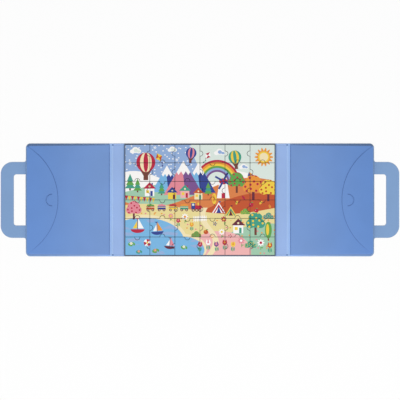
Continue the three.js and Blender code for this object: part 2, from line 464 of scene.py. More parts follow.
def mouth_tool():
    """The slot under the flap, with the thumb notch in its inner edge."""
    outer = tray_high.x - MOUTH_RIM
    inner = outer - MOUTH_WIDTH
    low, high = pocket_top - 3 * POCKET_WALL, pocket_top + OVERRUN
    slot = block("mouth", (inner, -MOUTH_HALF, low), (outer, MOUTH_HALF, high))
    round_edges(slot, upright, MOUTH_CORNER, segments=8)
    thumb = rod("thumb", (inner, 0, (low + high) / 2), THUMB_RADIUS, high - low, sides=64)
    combine(slot, thumb, "UNION")
    return slot


def pocket_flap():
    """A segment of a round disc: its straight side is the hinge and its arc is the free edge."""
    depth = flap_high.x - flap_low.x
    radius = (depth ** 2 + flap_high.y ** 2) / (2 * depth)
    thick = flap_high.z - flap_low.z - FLAP_DROP
    place = (flap_low.x + radius, 0, flap_low.z + thick / 2)
    flap = rod("right_pocket_flap", place, radius, thick, sides=256)
    edit_some(flap, "FACE", faces_up)
    bpy.ops.mesh.inset(thickness=FLAP_RIM, depth=FLAP_DROP)
    close_edit()
    trim(flap, flap_high.x, 1)
    cut(flap, moon_tool())
    round_edges(flap, moon_rim, MOON_PRESS, segments=2)
    return flap


def moon_tool():
    """A slit along half a circle, on the side of the hinge."""
    thick = flap_high.z - flap_low.z
    low, high = flap_low.z - 2 * OVERRUN, flap_high.z + 2 * OVERRUN
    centre = Vector((flap_low.x + MOON_RADIUS, 0, (low + high) / 2))
    moon = rod("moon", centre, MOON_RADIUS, thick + 2 * OVERRUN, sides=64)
    cut(moon, rod("core", centre, MOON_RADIUS - MOON_SLIT, thick + 4 * OVERRUN, sides=64))
    cut(moon, block(
        "inner_half", (flap_low.x - OVERRUN, -2 * MOON_RADIUS, low), (centre.x, 2 * MOON_RADIUS, high)))
    return moon


def moon_rim(edge):
    """True for an edge of the flap's top round the half-moon slit."""
    centre = Vector((flap_low.x + MOON_RADIUS, 0, flap_high.z))
    by_slit = all((v.co - centre).length < MOON_RADIUS + CLOSE for v in edge.verts)
    return by_slit and on_rim(edge, flap_high.z)


def flap_bead():
    """The folded plastic that joins the flap to the pocket."""
    place = (flap_high.x + BEAD_OUT, 0, flap_low.z)
    bead = rod("right_flap_bead", place, BEAD_RADIUS, 2 * flap_high.y, sides=20, lying=True)
    round_edges(
        bead, lambda e: all(near(abs(v.co.y), flap_high.y) for v in e.verts), BEAD_RADIUS / 2, segments=4)
    return bead


# Puzzle

def tongue(radius, along_x):
    """Both a tab and the hollow that takes it: a bar with a round nose at each end."""
    reach = TAB_NECK + radius
    wide, deep = (reach, radius) if along_x else (radius, reach)
    bar = block("tongue", (-wide, -deep, piece_foot - OVERRUN), (wide, deep, piece_top + OVERRUN))
    round_edges(bar, upright, radius * NOSE_SHARE, segments=16)
    return bar


def flatten_tongue(bar):
    """Trims a tab's bar to the thickness of a piece."""
    middle = (piece_foot + piece_top) / 2
    for side in (1, -1):
        edit_some(bar, "VERT", lambda v: (v.co.z - middle) * side > 0)
        bpy.ops.transform.translate(value=(0, 0, -side * OVERRUN))
        close_edit()


def tab_sign(table, line, place, outward):
    """1 where the tab stands out of this piece, -1 where the neighbour's goes in, 0 on the edge."""
    if not 0 <= line < len(table) or not 0 <= place < len(table[line]):
        return 0
    return 1 if table[line][place] == outward else -1


def piece_sides(row, column):
    """The way to each side of a piece, and the sign of its tab."""
    return (
        (0, -1, tab_sign(LEVEL_TABS, row, column, "v")),
        (1, 0, tab_sign(UPRIGHT_TABS, row, column, ">")),
        (0, 1, tab_sign(LEVEL_TABS, row - 1, column, "^")),
        (-1, 0, tab_sign(UPRIGHT_TABS, row, column - 1, "<")),
    )


def piece_centre(row, column):
    x = (board_low.x + board_high.x) / 2 + (column - (COLUMNS - 1) / 2) * piece_wide
    y = (board_low.y + board_high.y) / 2 + ((ROWS - 1) / 2 - row) * piece_deep
    return Vector((x, y, 0))


def puzzle_tile(master, tools, row, column):
    """One piece. Its tabs are joined on first, and the hollows are cut after them."""
    tile = copied(master, f"tile_r{row + 1}_c{column + 1}")
    centre = piece_centre(row, column)
    tile.location = centre
    settle(tile)
    for dx, dy, sign in sorted(piece_sides(row, column), key=lambda side: -side[2]):
        if sign == 0:
            continue
        tool = tools[sign, dx != 0]
        tool.location = centre + Vector((dx * piece_wide / 2, dy * piece_deep / 2, 0))
        combine(tile, tool, "UNION" if sign > 0 else "DIFFERENCE", keep_tool=True)
    tidy_faces(tile)
    round_edges(tile, lambda e: level(e, piece_top), RIM_PRESS, segments=3)
    return tile


def puzzle_tiles():
    inset = PIECE_GAP / 2
    wide, deep = piece_wide / 2 - inset, piece_deep / 2 - inset
    master = block("tile", (-wide, -deep, piece_foot), (wide, deep, piece_top))
    round_edges(master, upright, PIECE_CORNER, segments=4)
    tools = {}
    for sign in (1, -1):
        for along_x in (True, False):
            tools[sign, along_x] = tongue(TAB_RADIUS - sign * inset, along_x)
    for along_x in (True, False):
        flatten_tongue(tools[1, along_x])
    tiles = {
        (row, column): puzzle_tile(master, tools, row, column)
        for row in range(ROWS) for column in range(COLUMNS)
    }
    for tool in (master, *tools.values()):
        bpy.data.objects.remove(tool)
    return tiles


# Colours, as they look

def tint(code):
    """The linear colour of a six-digit code."""
    shares = [int(code[i:i + 2], 16) / 255 for i in (0, 2, 4)]
    return tuple(s / 12.92 if s <= 0.04045 else ((s + 0.055) / 1.055) ** 2.4 for s in shares) + (1,)


HANDLE_BLUE = tint("7e9fca")
LINING_BLUE = tint("9fbfec")
SPINE_BLUE = tint("97b4e5")
POCKET_DEEP = tint("618acb")
POCKET_PALE = tint("7194cd")
# Painted shade in the groove of the board crease; the crease web pales towards the panel crease
PAINTED_CREASE_SHADE = tint("86a6d6")
CREASE_PALE = tint("accaf4")
# Painted shade in the wells at the ends of the panel creases
PAINTED_WELL_SHADE = tint("5f7fb3")
CUT_EDGE = tint("8f9fb4")
# Deeper colour of the folded sheet at the pocket's rim, with painted shade on its walls
FOLD_EDGE_AND_SHADE = tint("5c6e8c")
# Painted shade along the flap's free edge and round the half-moon slit
FLAP_PAINTED_SHADE = tint("365790")
# Painted shade on the steep sides of the flap's bead
BEAD_PAINTED_SHADE = tint("4a6ca6")
# Painted shadow of the board, on the top of the sheet beside it
PAINTED_BOARD_SHADOW = tint("62738f")
BOARD_GREY = tint("a39d92")
BOARD_FLECK = tint("77736b")
MAGNET_BLACK = tint("26272b")
# Dark laminate of the board's face; seen only in the gaps, its darkness also stands in for their shade
GAP_SHADE_LAMINATE = tint("4d5868")
LAMINATE_RUBBED = tint("77828f")
# Painted shade for the seams between pieces, also used for the thin border round the picture
PAINTED_SEAM_SHADE = tint("2b2a33")
PAPER = tint("fffcf7")
STEEL = tint("c2c5c8")

INKS = {
    "snow": tint("fbfcff"), "mist": tint("dcebe8"), "sky": tint("93b1e0"), "lake": tint("78b7e8"),
    "navy": tint("2c3f8f"), "teal": tint("3f9c86"), "mint": tint("9fcbb2"), "leaf": tint("5ea24c"),
    "lemon": tint("f0cf45"), "cream": tint("f3e6bd"), "straw": tint("e9dc9c"), "amber": tint("e8983a"),
    "orange": tint("d98149"), "rust": tint("bf5229"), "crimson": tint("b51d40"), "maroon": tint("5e1c33"),
    "rose": tint("e28a9b"), "blush": tint("efb6b8"), "bark": tint("6b3a2e"), "plum": tint("77508f"),
}


# Benches for nodes

class Bench:
    """Adds nodes to one tree. An input takes a socket or a plain value."""

    def __init__(self, tree):
        self.tree = tree

    def put(self, socket, value):
        if isinstance(value, bpy.types.NodeSocket):
            self.tree.links.new(value, socket)
        else:
            socket.default_value = value

    def node(self, kind, values=(), **settings):
        made = self.tree.nodes.new(kind)
        for name, value in settings.items():
            setattr(made, name, value)
        pairs = values.items() if isinstance(values, dict) else enumerate(values)
        for key, value in pairs:
            self.put(made.inputs[key], value)
        return made

    def use(self, group, **values):
        """Places a node group. An input's name is its argument's name."""
        return self.node("ShaderNodeGroup", values, node_tree=group).outputs

    def math(self, operation, *values):
        return self.node("ShaderNodeMath", values, operation=operation).outputs[0]

    def vector(self, operation, *values):
        out = "Value" if operation in ("LENGTH", "DISTANCE") else "Vector"
        return self.node("ShaderNodeVectorMath", values, operation=operation).outputs[out]

    def apart(self, vector):
        return self.node("ShaderNodeSeparateXYZ", (vector,)).outputs

    def away(self, place, axis):
        """The distance from the middle along one axis."""
        return self.math("ABSOLUTE", self.apart(place)[axis])

    def mix(self, share, under, over):
        values = {0: share, 6: under, 7: over}
        return self.node("ShaderNodeMix", values, data_type="RGBA", clamp_factor=True).outputs[2]

    def times(self, colour, other):
        values = {0: 1.0, 6: colour, 7: other}
        return self.node("ShaderNodeMix", values, data_type="RGBA", blend_type="MULTIPLY").outputs[2]

    def grey(self, tone):
        return self.node("ShaderNodeCombineColor", (tone, tone, tone)).outputs[0]

    def ramp(self, value, low, high, start=0.0, end=1.0):
        """Goes smoothly from start to end while the value goes from low to high."""
        values = {0: value, 1: low, 2: high, 3: start, 4: end}
        return self.node("ShaderNodeMapRange", values, interpolation_type="SMOOTHSTEP").outputs[0]

    def mapped(self, place, centre, turn, size):
        """Coordinates in the frame that stands at centre, turned, with that size as 1."""
        values = {"Vector": place, "Location": centre, "Rotation": (0, 0, turn), "Scale": size}
        return self.node("ShaderNodeMapping", values, vector_type="TEXTURE").outputs[0]

    def stretched(self, place, scale, turn=0.0):
        values = {"Vector": place, "Scale": scale, "Rotation": (0, 0, turn)}
        return self.node("ShaderNodeMapping", values).outputs[0]

    def noise(self, place, scale, detail):
        values = {"Vector": place, "Scale": scale, "Detail": detail}
        return self.node("ShaderNodeTexNoise", values).outputs[0]


class Effect(Bench):
    """A new node group, with its inputs as source. Each socket is given as its name and its kind."""

    def __init__(self, name, inputs, outputs):
        super().__init__(bpy.data.node_groups.new(name, "ShaderNodeTree"))
        for in_out, sockets in (("INPUT", inputs), ("OUTPUT", outputs)):
            for label, kind in sockets.items():
                self.tree.interface.new_socket(name=label, in_out=in_out, socket_type=f"NodeSocket{kind}")
        self.source = self.node("NodeGroupInput").outputs
        self.target = self.node("NodeGroupOutput").inputs

    def give(self, **values):
        """Joins the group's outputs, and hands over the finished group."""
        for label, value in values.items():
            self.put(self.target[label], value)
        return self.tree


class Finish(Bench):
    """A new material, with the place and the normal that its nodes read."""

    def __init__(self, name):
        self.material = bpy.data.materials.new(name)
        self.material.use_nodes = True
        super().__init__(self.material.node_tree)
        self.shader = self.tree.nodes["Principled BSDF"]
        coords = self.node("ShaderNodeTexCoord").outputs
        self.place, self.normal = coords["Object"], coords["Normal"]

    def set(self, name, value):
        """Sets or joins an input of the shader itself."""
        self.put(self.shader.inputs[name], value)

    def wear(self, colour, roughness, height, strength, distance):
        """Joins the colour, the roughness and the relief, and hands over the finished material."""
        values = {"Strength": strength, "Distance": distance, "Height": height}
        self.set("Base Color", colour)
        self.set("Roughness", roughness)
        self.set("Normal", self.node("ShaderNodeBump", values).outputs[0])
        return self.material


# Plastic

def plastic_surface():
    """Moulded grain, soft mottling and faint scuffs of a plastic sheet."""
    effect = Effect(
        "plastic_surface", {"Place": "Vector", "Colour": "Color"},
        {"Colour": "Color", "Roughness": "Float", "Height": "Float"})
    place = effect.source["Place"]
    cloudy = effect.noise(place, scale=14, detail=2)
    grain = effect.noise(place, scale=2600, detail=2)
    swell = effect.noise(place, scale=40, detail=1)
    scuffs = effect.noise(effect.stretched(place, (60, 1900, 60), turn=0.5), scale=1, detail=2)
    scuff = effect.ramp(scuffs, 0.66, 0.74)
    tone = effect.ramp(cloudy, 0.3, 0.7, 0.97, 1.03)
    tone = effect.math("MULTIPLY_ADD", scuff, 0.03, tone)
    tone = effect.math("MULTIPLY_ADD", grain, 0.04, effect.math("SUBTRACT", tone, 0.02))
    rough = effect.ramp(cloudy, 0.3, 0.7, 0.44, 0.54)
    height = effect.math("MULTIPLY_ADD", swell, 4.0, grain)
    return effect.give(
        Colour=effect.times(effect.source["Colour"], effect.grey(tone)),
        Roughness=effect.math("MULTIPLY_ADD", scuff, 0.12, rough),
        Height=effect.math("MULTIPLY_ADD", scuff, -0.4, height))


def across_case():
    """Changes one colour to another along the case, on both sides alike."""
    effect = Effect(
        "across_case",
        {"Place": "Vector", "Inner": "Color", "Outer": "Color", "From": "Float", "To": "Float"},
        {"Colour": "Color"})
    source = effect.source
    share = effect.ramp(effect.away(source["Place"], "X"), source["From"], source["To"])
    return effect.give(Colour=effect.mix(share, source["Inner"], source["Outer"]))


def edge_colour_and_shade():
    """Changes a colour where the surface turns down at an edge. It gives the sheets' cut edges their grey,
    and paints shade at the pocket's rim, the flap's edges and the bead.
    """
    effect = Effect(
        "edge_colour_and_shade",
        {"Normal": "Vector", "Colour": "Color", "Edge": "Color", "From": "Float", "To": "Float",
         "Strength": "Float"},
        {"Colour": "Color"})
    source = effect.source
    share = effect.ramp(effect.away(source["Normal"], "Z"), source["From"], source["To"])
    share = effect.math("MULTIPLY", share, source["Strength"])
    return effect.give(Colour=effect.mix(share, source["Colour"], source["Edge"]))


def painted_well_shade():
    """Paints shade into the wells of the panel creases: a darker blue over each well, fading at its edge.
    """
    effect = Effect("painted_well_shade", {"Place": "Vector", "Colour": "Color"}, {"Colour": "Color"})
    corner = effect.vector("MULTIPLY", effect.vector("ABSOLUTE", effect.source["Place"]), (1, 1, 0))
    reach = effect.vector("DISTANCE", corner, (panel_crease, sheet_half - WELL_INSET, 0))
    well_shade_share = effect.ramp(reach, WELL_RADIUS * WELL_SHADE_FADE_SHARE, WELL_RADIUS * WELL_SHADE_FULL_SHARE)
    return effect.give(Colour=effect.mix(well_shade_share, effect.source["Colour"], PAINTED_WELL_SHADE))


PLASTIC_SURFACE = plastic_surface()
ACROSS_CASE = across_case()
EDGE_COLOUR_AND_SHADE = edge_colour_and_shade()
WELL_SHADE_GROUP = painted_well_shade()


def plastic(name, inner, outer, start, end, edge, shaded_top=None, fade=None):
    """Plastic sheet whose colour runs from inner to outer along the case, from start to end. edge is the
    colour of its edges, where that starts to show, where it is full, and how strongly; on the pocket, the
    flap and the bead it is painted shade, on the pocket's rim together with the fold's own deeper colour.
    fade is the axis along which that fades, where it is gone and where it is full. The top colour, where
    given, is a painted shadow of the board over the sheet's top."""
    finish = Finish(name)
    place, normal = finish.place, finish.normal
    colour = finish.use(ACROSS_CASE, Place=place, Inner=inner, Outer=outer, From=start, To=end)[0]
    # A painted shadow over the whole top face, which shows beside the board
    if shaded_top:
        top = finish.ramp(finish.apart(normal)["Z"], 0.6, 0.9)
        colour = finish.mix(top, colour, shaded_top)
    edge_colour, edge_start, edge_end, strength = edge
    if fade:
        axis, gone, full = fade
        strength = finish.ramp(finish.away(place, axis), gone, full, 0.0, strength)
    colour = finish.use(
        EDGE_COLOUR_AND_SHADE, Normal=normal, Colour=colour, Edge=edge_colour, From=edge_start, To=edge_end,
        Strength=strength)[0]
    # Painted shade in the crease wells
    colour = finish.use(WELL_SHADE_GROUP, Place=place, Colour=colour)[0]
    sheet = finish.use(PLASTIC_SURFACE, Place=place, Colour=colour)
    finish.set("IOR", 1.49)
    finish.set("Specular IOR Level", 0.35)
    return finish.wear(
        sheet["Colour"], sheet["Roughness"], sheet["Height"], strength=0.35, distance=0.03 * MM)


# Motifs for the print on the pieces

class Motif(Effect):
    """A group that paints flat shapes over a colour, in the motif's own frame, where 1 is half its height.
    Its first, second and third inks are inputs."""

    def __init__(self, name):
        inks = {"First": "Color", "Second": "Color", "Third": "Color"}
        super().__init__(name, {"Spot": "Vector", "Under": "Color", **inks}, {"Colour": "Color"})
        self.spot = self.source["Spot"]
        self.colour = self.source["Under"]
        self.first, self.second, self.third = (self.source[ink] for ink in inks)
        self.x, self.y, _ = self.apart(self.spot)

    def paint(self, ink, *masks):
        """Paints all that the masks cover. An ink is a name in INKS or an input."""
        ink = INKS[ink] if isinstance(ink, str) else ink
        self.colour = self.mix(self.either(*masks), self.colour, ink)

    def both(self, a, b):
        return self.math("MULTIPLY", a, b)

    def without(self, a, b):
        """What a covers and b leaves free."""
        return self.math("GREATER_THAN", a, b)

    def either(self, mask, *others):
        for other in others:
            mask = self.math("MAXIMUM", mask, other)
        return mask

    def above(self, y):
        return self.math("GREATER_THAN", self.y, y)

    def wave(self, place, turns, swell, base):
        """A value that swings round base, by swell, with so many radians for each unit of place."""
        swing = self.math("SINE", self.math("MULTIPLY", place, turns))
        return self.math("MULTIPLY_ADD", swing, swell, base)

    def local(self, x, y, wide, high):
        shift = (-x / wide, -y / high, 0)
        return self.vector("MULTIPLY_ADD", self.spot, (1 / wide, 1 / high, 0), shift)

    def folded(self, x, y, wide, high):
        """The distances from x and y, as shares of wide and high."""
        return self.apart(self.vector("ABSOLUTE", self.local(x, y, wide, high)))

    def disc(self, x, y, wide, high=None):
        length = self.vector("LENGTH", self.local(x, y, wide, high or wide))
        return self.math("LESS_THAN", length, 1)

    def bar(self, x, y, wide, high):
        across, along, _ = self.folded(x, y, wide, high)
        return self.math("LESS_THAN", self.math("MAXIMUM", across, along), 1)

    def diamond(self, x, y, wide, high):
        across, along, _ = self.folded(x, y, wide, high)
        return self.math("LESS_THAN", self.math("ADD", across, along), 1)

    def peak(self, x, y, wide, high):
        """A triangle that stands on its base, or hangs from it where high is negative."""
        across, along, _ = self.apart(self.local(x, y, wide, high))
        slope = self.math("ADD", self.math("ABSOLUTE", across), along)
        return self.both(self.math("LESS_THAN", slope, 1), self.math("GREATER_THAN", along, 0))

    def petals(self, x, y, radius, count, depth):
        spot = self.local(x, y, radius, radius)
        across, along, _ = self.apart(spot)
        angle = self.math("MULTIPLY", self.math("ARCTAN2", along, across), count)
        edge = self.math("MULTIPLY_ADD", self.math("COSINE", angle), depth, 1 - depth)
        return self.math("LESS_THAN", self.vector("LENGTH", spot), edge)

    def stripes(self, value, width, shift=0.0):
        folded = self.math("PINGPONG", self.math("ADD", value, shift), width)
        return self.math("GREATER_THAN", folded, width / 2)

    def specks(self, scale, size):
        """Dots scattered over the spot, and a random value for each."""
        values = {"Vector": self.spot, "Scale": scale}
        cells = self.node("ShaderNodeTexVoronoi", values, voronoi_dimensions="2D").outputs
        return self.math("LESS_THAN", cells["Distance"], size), self.apart(cells["Color"])[0]

    def hill(self, base, swell, waves, shift):
        """Everything under a rolling line."""
        turn = self.math("MULTIPLY_ADD", self.x, waves * 4 * QUARTER, shift)
        line = self.math("MULTIPLY_ADD", self.math("SINE", turn), swell, base)
        return self.math("LESS_THAN", self.y, line)


def draw_cloud(art):
    art.paint(
        art.first, art.disc(-0.75, -0.25, 0.6, 0.5), art.disc(0, 0.1, 0.8, 0.75),
        art.disc(0.8, -0.2, 0.65, 0.55))
    art.paint(art.second, art.disc(0.1, 0.0, 0.5, 0.45), art.disc(0.85, -0.25, 0.4, 0.3))


def draw_sun(art):
    art.paint(art.first, art.petals(0, 0, 1, 14, 0.16))
    art.paint(art.second, art.disc(0, 0, 0.6))
    art.paint(art.third, art.disc(0, 0, 0.45))


def draw_rainbow(art):
    arch = art.above(0)
    for step, ink in enumerate(("crimson", "amber", "lemon", "leaf", "sky", "plum")):
        art.paint(ink, art.both(art.disc(0, 0, 1 - 0.09 * step), arch))
    art.paint(art.first, art.both(art.disc(0, 0, 0.46), arch))


def draw_mountain(art):
    cone = art.peak(0, -1, 1.15, 2)
    art.paint(art.first, cone)
    ridge = art.math("MULTIPLY_ADD", art.math("PINGPONG", art.x, 0.14), 1.6, 0.15)
    art.paint(art.second, art.both(cone, art.math("GREATER_THAN", art.y, ridge)))
    shade = art.math("GREATER_THAN", art.x, art.math("MULTIPLY", art.y, -0.12))
    art.paint(art.third, art.both(art.both(cone, shade), art.math("LESS_THAN", art.y, ridge)))


def draw_balloon(art):
    art.paint(art.third, art.peak(0, -0.1, 0.5, -0.85))
    art.paint(art.first, art.disc(0, 0.3, 0.68, 0.7))
    art.paint(art.second, art.disc(0, 0.3, 0.42, 0.7))
    art.paint(art.first, art.disc(0, 0.3, 0.17, 0.7))
    art.paint("bark", art.bar(0, -0.84, 0.17, 0.14))


def draw_kite(art):
    off = art.math("ABSOLUTE", art.math("SUBTRACT", art.x, art.wave(art.y, 9, 0.12, 0)))
    string = art.math("LESS_THAN", off, 0.035)
    art.paint("maroon", art.both(string, art.bar(0, -0.5, 1, 0.5)))
    art.paint(art.third, art.diamond(0.08, -0.5, 0.16, 0.09), art.diamond(-0.05, -0.85, 0.16, 0.09))
    sail = art.diamond(0, 0.4, 0.48, 0.6)
    art.paint(art.first, sail)
    quarter = art.math("GREATER_THAN", art.math("MULTIPLY", art.x, art.math("SUBTRACT", art.y, 0.4)), 0)
    art.paint(art.second, art.both(sail, quarter))


def draw_fir(art):
    art.paint("bark", art.bar(0, -0.85, 0.1, 0.15))
    art.paint(art.first, art.peak(0, -0.75, 0.62, 0.85))
    art.paint(art.second, art.peak(0, -0.35, 0.5, 0.8))
    art.paint(art.first, art.peak(0, 0.1, 0.38, 0.9))


def draw_tree(art):
    art.paint(art.third, art.bar(0, -0.62, 0.1, 0.4))
    crown = art.either(art.disc(0, 0.28, 0.66), art.disc(-0.42, -0.02, 0.4), art.disc(0.42, -0.02, 0.4))
    art.paint(art.first, crown)
    art.paint(art.second, art.both(crown, art.specks(2.6, 0.24)[0]))


def draw_poplar(art):
    art.paint(art.third, art.bar(0, -0.8, 0.07, 0.2))
    art.paint(art.first, art.disc(0, 0.1, 0.36, 0.88))
    art.paint(art.second, art.disc(-0.08, 0.15, 0.16, 0.6))


def draw_house(art):
    art.paint(art.third, art.bar(0.34, 0.5, 0.09, 0.28))
    art.paint(art.first, art.bar(0, -0.45, 0.62, 0.52))
    art.paint(art.second, art.peak(0, 0.02, 0.85, 0.85))
    art.paint(art.third, art.bar(0.26, -0.62, 0.15, 0.34))
    art.paint("lemon", art.bar(-0.26, -0.38, 0.19, 0.19))
    art.paint("cream", art.disc(0, 0.3, 0.13))


def draw_windmill(art):
    tower = art.both(art.peak(0, -1, 0.5, 3.2), art.math("LESS_THAN", art.y, 0.3))
    art.paint(art.first, tower)
    art.paint(art.second, art.disc(0, 0.32, 0.33, 0.24))
    art.paint(art.second, art.bar(0, -0.8, 0.13, 0.2))
    values = {"Vector": art.vector("SUBTRACT", art.spot, (0, 0.35, 0)), "Angle": 0.5}
    turned = art.node("ShaderNodeVectorRotate", values, rotation_type="Z_AXIS").outputs[0]
    across, along, _ = art.apart(art.vector("ABSOLUTE", turned))
    thin = art.math("LESS_THAN", art.math("MINIMUM", across, along), 0.075)
    sails = art.both(thin, art.math("LESS_THAN", art.math("MAXIMUM", across, along), 0.72))
    art.paint(art.third, sails)
    art.paint(art.second, art.disc(0, 0.35, 0.1))


def draw_boat(art):
    art.paint("bark", art.bar(0, 0.15, 0.035, 0.75))
    art.paint(art.first, art.without(art.disc(0, -0.42, 0.85, 0.48), art.above(-0.45)))
    right, left = art.math("GREATER_THAN", art.x, 0.06), art.math("LESS_THAN", art.x, -0.06)
    art.paint(art.second, art.both(art.peak(0.05, -0.35, 0.7, 1.25), right))
    art.paint(art.third, art.both(art.peak(-0.03, -0.35, 0.55, 0.95), left))
    art.paint(art.first, art.peak(-0.03, 0.88, 0.3, -0.16))


def draw_wheels(art, *places):
    for x in places:
        art.paint("maroon", art.disc(x, -0.68, 0.26))
        art.paint("cream", art.disc(x, -0.68, 0.11))


def draw_engine(art):
    art.paint(art.third, art.bar(0.35, 0.25, 0.11, 0.3))
    art.paint(art.first, art.bar(0.15, -0.2, 0.65, 0.3), art.disc(0.75, -0.2, 0.2, 0.3))
    art.paint(art.second, art.bar(-0.5, 0.05, 0.32, 0.56))
    art.paint(art.third, art.bar(-0.5, 0.6, 0.42, 0.08))
    art.paint("mist", art.bar(-0.5, 0.22, 0.17, 0.17))
    draw_wheels(art, -0.5, 0.1, 0.62)


def draw_wagon(art):
    heap = art.either(art.disc(-0.42, 0.15, 0.3), art.disc(0.05, 0.22, 0.32), art.disc(0.5, 0.13, 0.28))
    art.paint(art.second, heap)
    art.paint(art.first, art.bar(0, -0.25, 0.82, 0.34))
    art.paint(art.third, art.bar(0, -0.12, 0.82, 0.06))
    draw_wheels(art, -0.48, 0.48)


def draw_tent(art):
    sail = art.peak(0, -0.8, 1, 1.6)
    art.paint(art.first, sail)
    slant = art.math("MULTIPLY_ADD", art.math("ABSOLUTE", art.x), 1.6, art.y)
    art.paint(art.second, art.both(sail, art.stripes(slant, 0.34)))
    art.paint(art.third, art.peak(0, -0.8, 0.32, 1.05))
    art.paint(art.third, art.both(art.bar(0.14, 0.88, 0.16, 0.1), art.above(0.76)))


def draw_daisy(art):
    art.paint("leaf", art.bar(0, -0.55, 0.06, 0.45))
    art.paint("leaf", art.disc(0.22, -0.6, 0.2, 0.1))
    art.paint(art.first, art.petals(0, 0.3, 0.68, 8, 0.2))
    art.paint(art.second, art.disc(0, 0.3, 0.24))


def draw_tulip(art):
    art.paint("leaf", art.bar(0, -0.5, 0.06, 0.5))
    art.paint("teal", art.disc(-0.24, -0.55, 0.11, 0.36), art.disc(0.24, -0.55, 0.11, 0.36))
    art.paint(art.first, art.disc(0, 0.3, 0.42, 0.42))
    crown = art.either(art.peak(-0.26, 0.4, 0.17, 0.55), art.peak(0.26, 0.4, 0.17, 0.55))
    art.paint(art.first, crown)
    art.paint(art.second, art.peak(0, 0.2, 0.22, 0.72))


def draw_bush(art):
    round_tops = art.either(
        art.disc(-0.55, -0.25, 0.5), art.disc(0.05, 0.05, 0.62), art.disc(0.62, -0.28, 0.46))
    leaves = art.both(round_tops, art.above(-0.6))
    art.paint(art.first, leaves)
    art.paint(art.second, art.both(leaves, art.specks(3.2, 0.22)[0]))


def draw_fruit(art):
    art.paint(art.first, art.disc(0, -0.15, 0.8, 0.75))
    art.paint(art.third, art.disc(-0.28, 0.1, 0.2, 0.26))
    art.paint("bark", art.bar(0.02, 0.68, 0.06, 0.25))
    art.paint(art.second, art.disc(0.35, 0.72, 0.34, 0.15))


def draw_ball(art):
    angle = art.math("ARCTAN2", art.y, art.x)
    disc = art.disc(0, 0, 0.95)
    art.paint(art.first, disc)
    art.paint(art.second, art.both(disc, art.stripes(angle, 2 * QUARTER / 3)))
    art.paint(art.third, art.disc(0, 0, 0.25))


def draw_lily(art):
    art.paint(art.first, art.without(art.disc(0, -0.1, 1, 0.6), art.peak(0.45, -0.75, 0.28, 0.65)))
    art.paint(art.second, art.petals(-0.1, 0.1, 0.5, 6, 0.28))
    art.paint(art.third, art.disc(-0.1, 0.1, 0.15))


def draw_leaf(art):
    blade = art.both(art.disc(-0.5, 0, 0.85, 1), art.disc(0.5, 0, 0.85, 1))
    art.paint(art.second, art.bar(0, -0.8, 0.04, 0.25))
    art.paint(art.first, blade)
    art.paint(art.second, art.both(blade, art.bar(0, 0, 0.035, 0.9)))


def draw_star(art):
    art.paint(art.first, art.petals(0, 0, 1, 5, 0.34))
    art.paint(art.second, art.disc(0, 0, 0.28))


def draw_flake(art):
    art.paint(art.first, art.petals(0, 0, 1, 6, 0.46))


def draw_fence(art):
    art.paint(art.first, art.bar(0, 0.15, 2, 0.1), art.bar(0, -0.45, 2, 0.1))
    posts = art.both(art.bar(0, -0.1, 2, 0.8), art.stripes(art.x, 0.28))
    art.paint(art.second, posts)


def draw_bunting(art):
    art.paint("maroon", art.bar(0, 0.5, 3, 0.04))
    tooth = art.math("SUBTRACT", 0.5, art.math("MULTIPLY", art.math("PINGPONG", art.x, 0.3), 3.2))
    flags = art.both(art.bar(0, 0, 3, 0.5), art.math("GREATER_THAN", art.y, tooth))
    art.paint(art.first, flags)
    art.paint(art.second, art.both(flags, art.stripes(art.x, 0.6, 0.3)))


def draw_scenery(art):
    """Sky, hills, meadow and lake. Here the frame is the whole board, from 0 to 1 each way."""
    blue = art.math("LESS_THAN", art.x, art.wave(art.y, 11, 0.03, 0.47))
    art.paint("sky", blue)
    art.paint("snow", art.both(blue, art.specks(26, 0.13)[0]))
    for ink, base, swell, waves, shift in (
        ("snow", 0.70, 0.06, 1.5, 1.0),
        ("mint", 0.60, 0.05, 1.1, -0.6),
        ("orange", 0.57, 0.13, 0.75, -2.4),
        ("rust", 0.44, 0.12, 0.8, -2.9),
        ("straw", 0.42, 0.045, 0.9, 0.8),
        ("mint", 0.13, 0.16, 0.7, -2.6),
    ):
        art.paint(ink, art.hill(base, swell, waves, shift))
    dots, pick = art.specks(24, 0.14)
    meadow = art.both(art.hill(0.36, 0.045, 0.9, 0.8), dots)
    art.paint("rose", art.both(meadow, art.math("LESS_THAN", pick, 0.35)))
    art.paint("amber", art.both(meadow, art.math("GREATER_THAN", pick, 0.65)))
    art.paint("blush", art.disc(0.63, 0.03, 0.21, 0.19))
    off = art.math("ABSOLUTE", art.math("SUBTRACT", art.x, art.wave(art.y, 13, 0.045, 0.56)))
    path = art.both(art.math("LESS_THAN", off, 0.02), art.hill(0.43, 0, 1, 0))
    art.paint("cream", path)
    art.paint("cream", art.disc(0.13, 0.13, 0.285, 0.235), art.disc(0.38, 0.06, 0.165, 0.135))
    lake = art.either(art.disc(0.125, 0.125, 0.27, 0.215), art.disc(0.38, 0.05, 0.15, 0.12))
    art.paint("lake", lake)
    ripple = art.stripes(art.wave(art.x, 60, 0.004, art.y), 0.028)
    patches = art.math("GREATER_THAN", art.noise(art.spot, 7.0, 0.0), 0.58)
    art.paint("sky", art.both(lake, art.both(ripple, patches)))


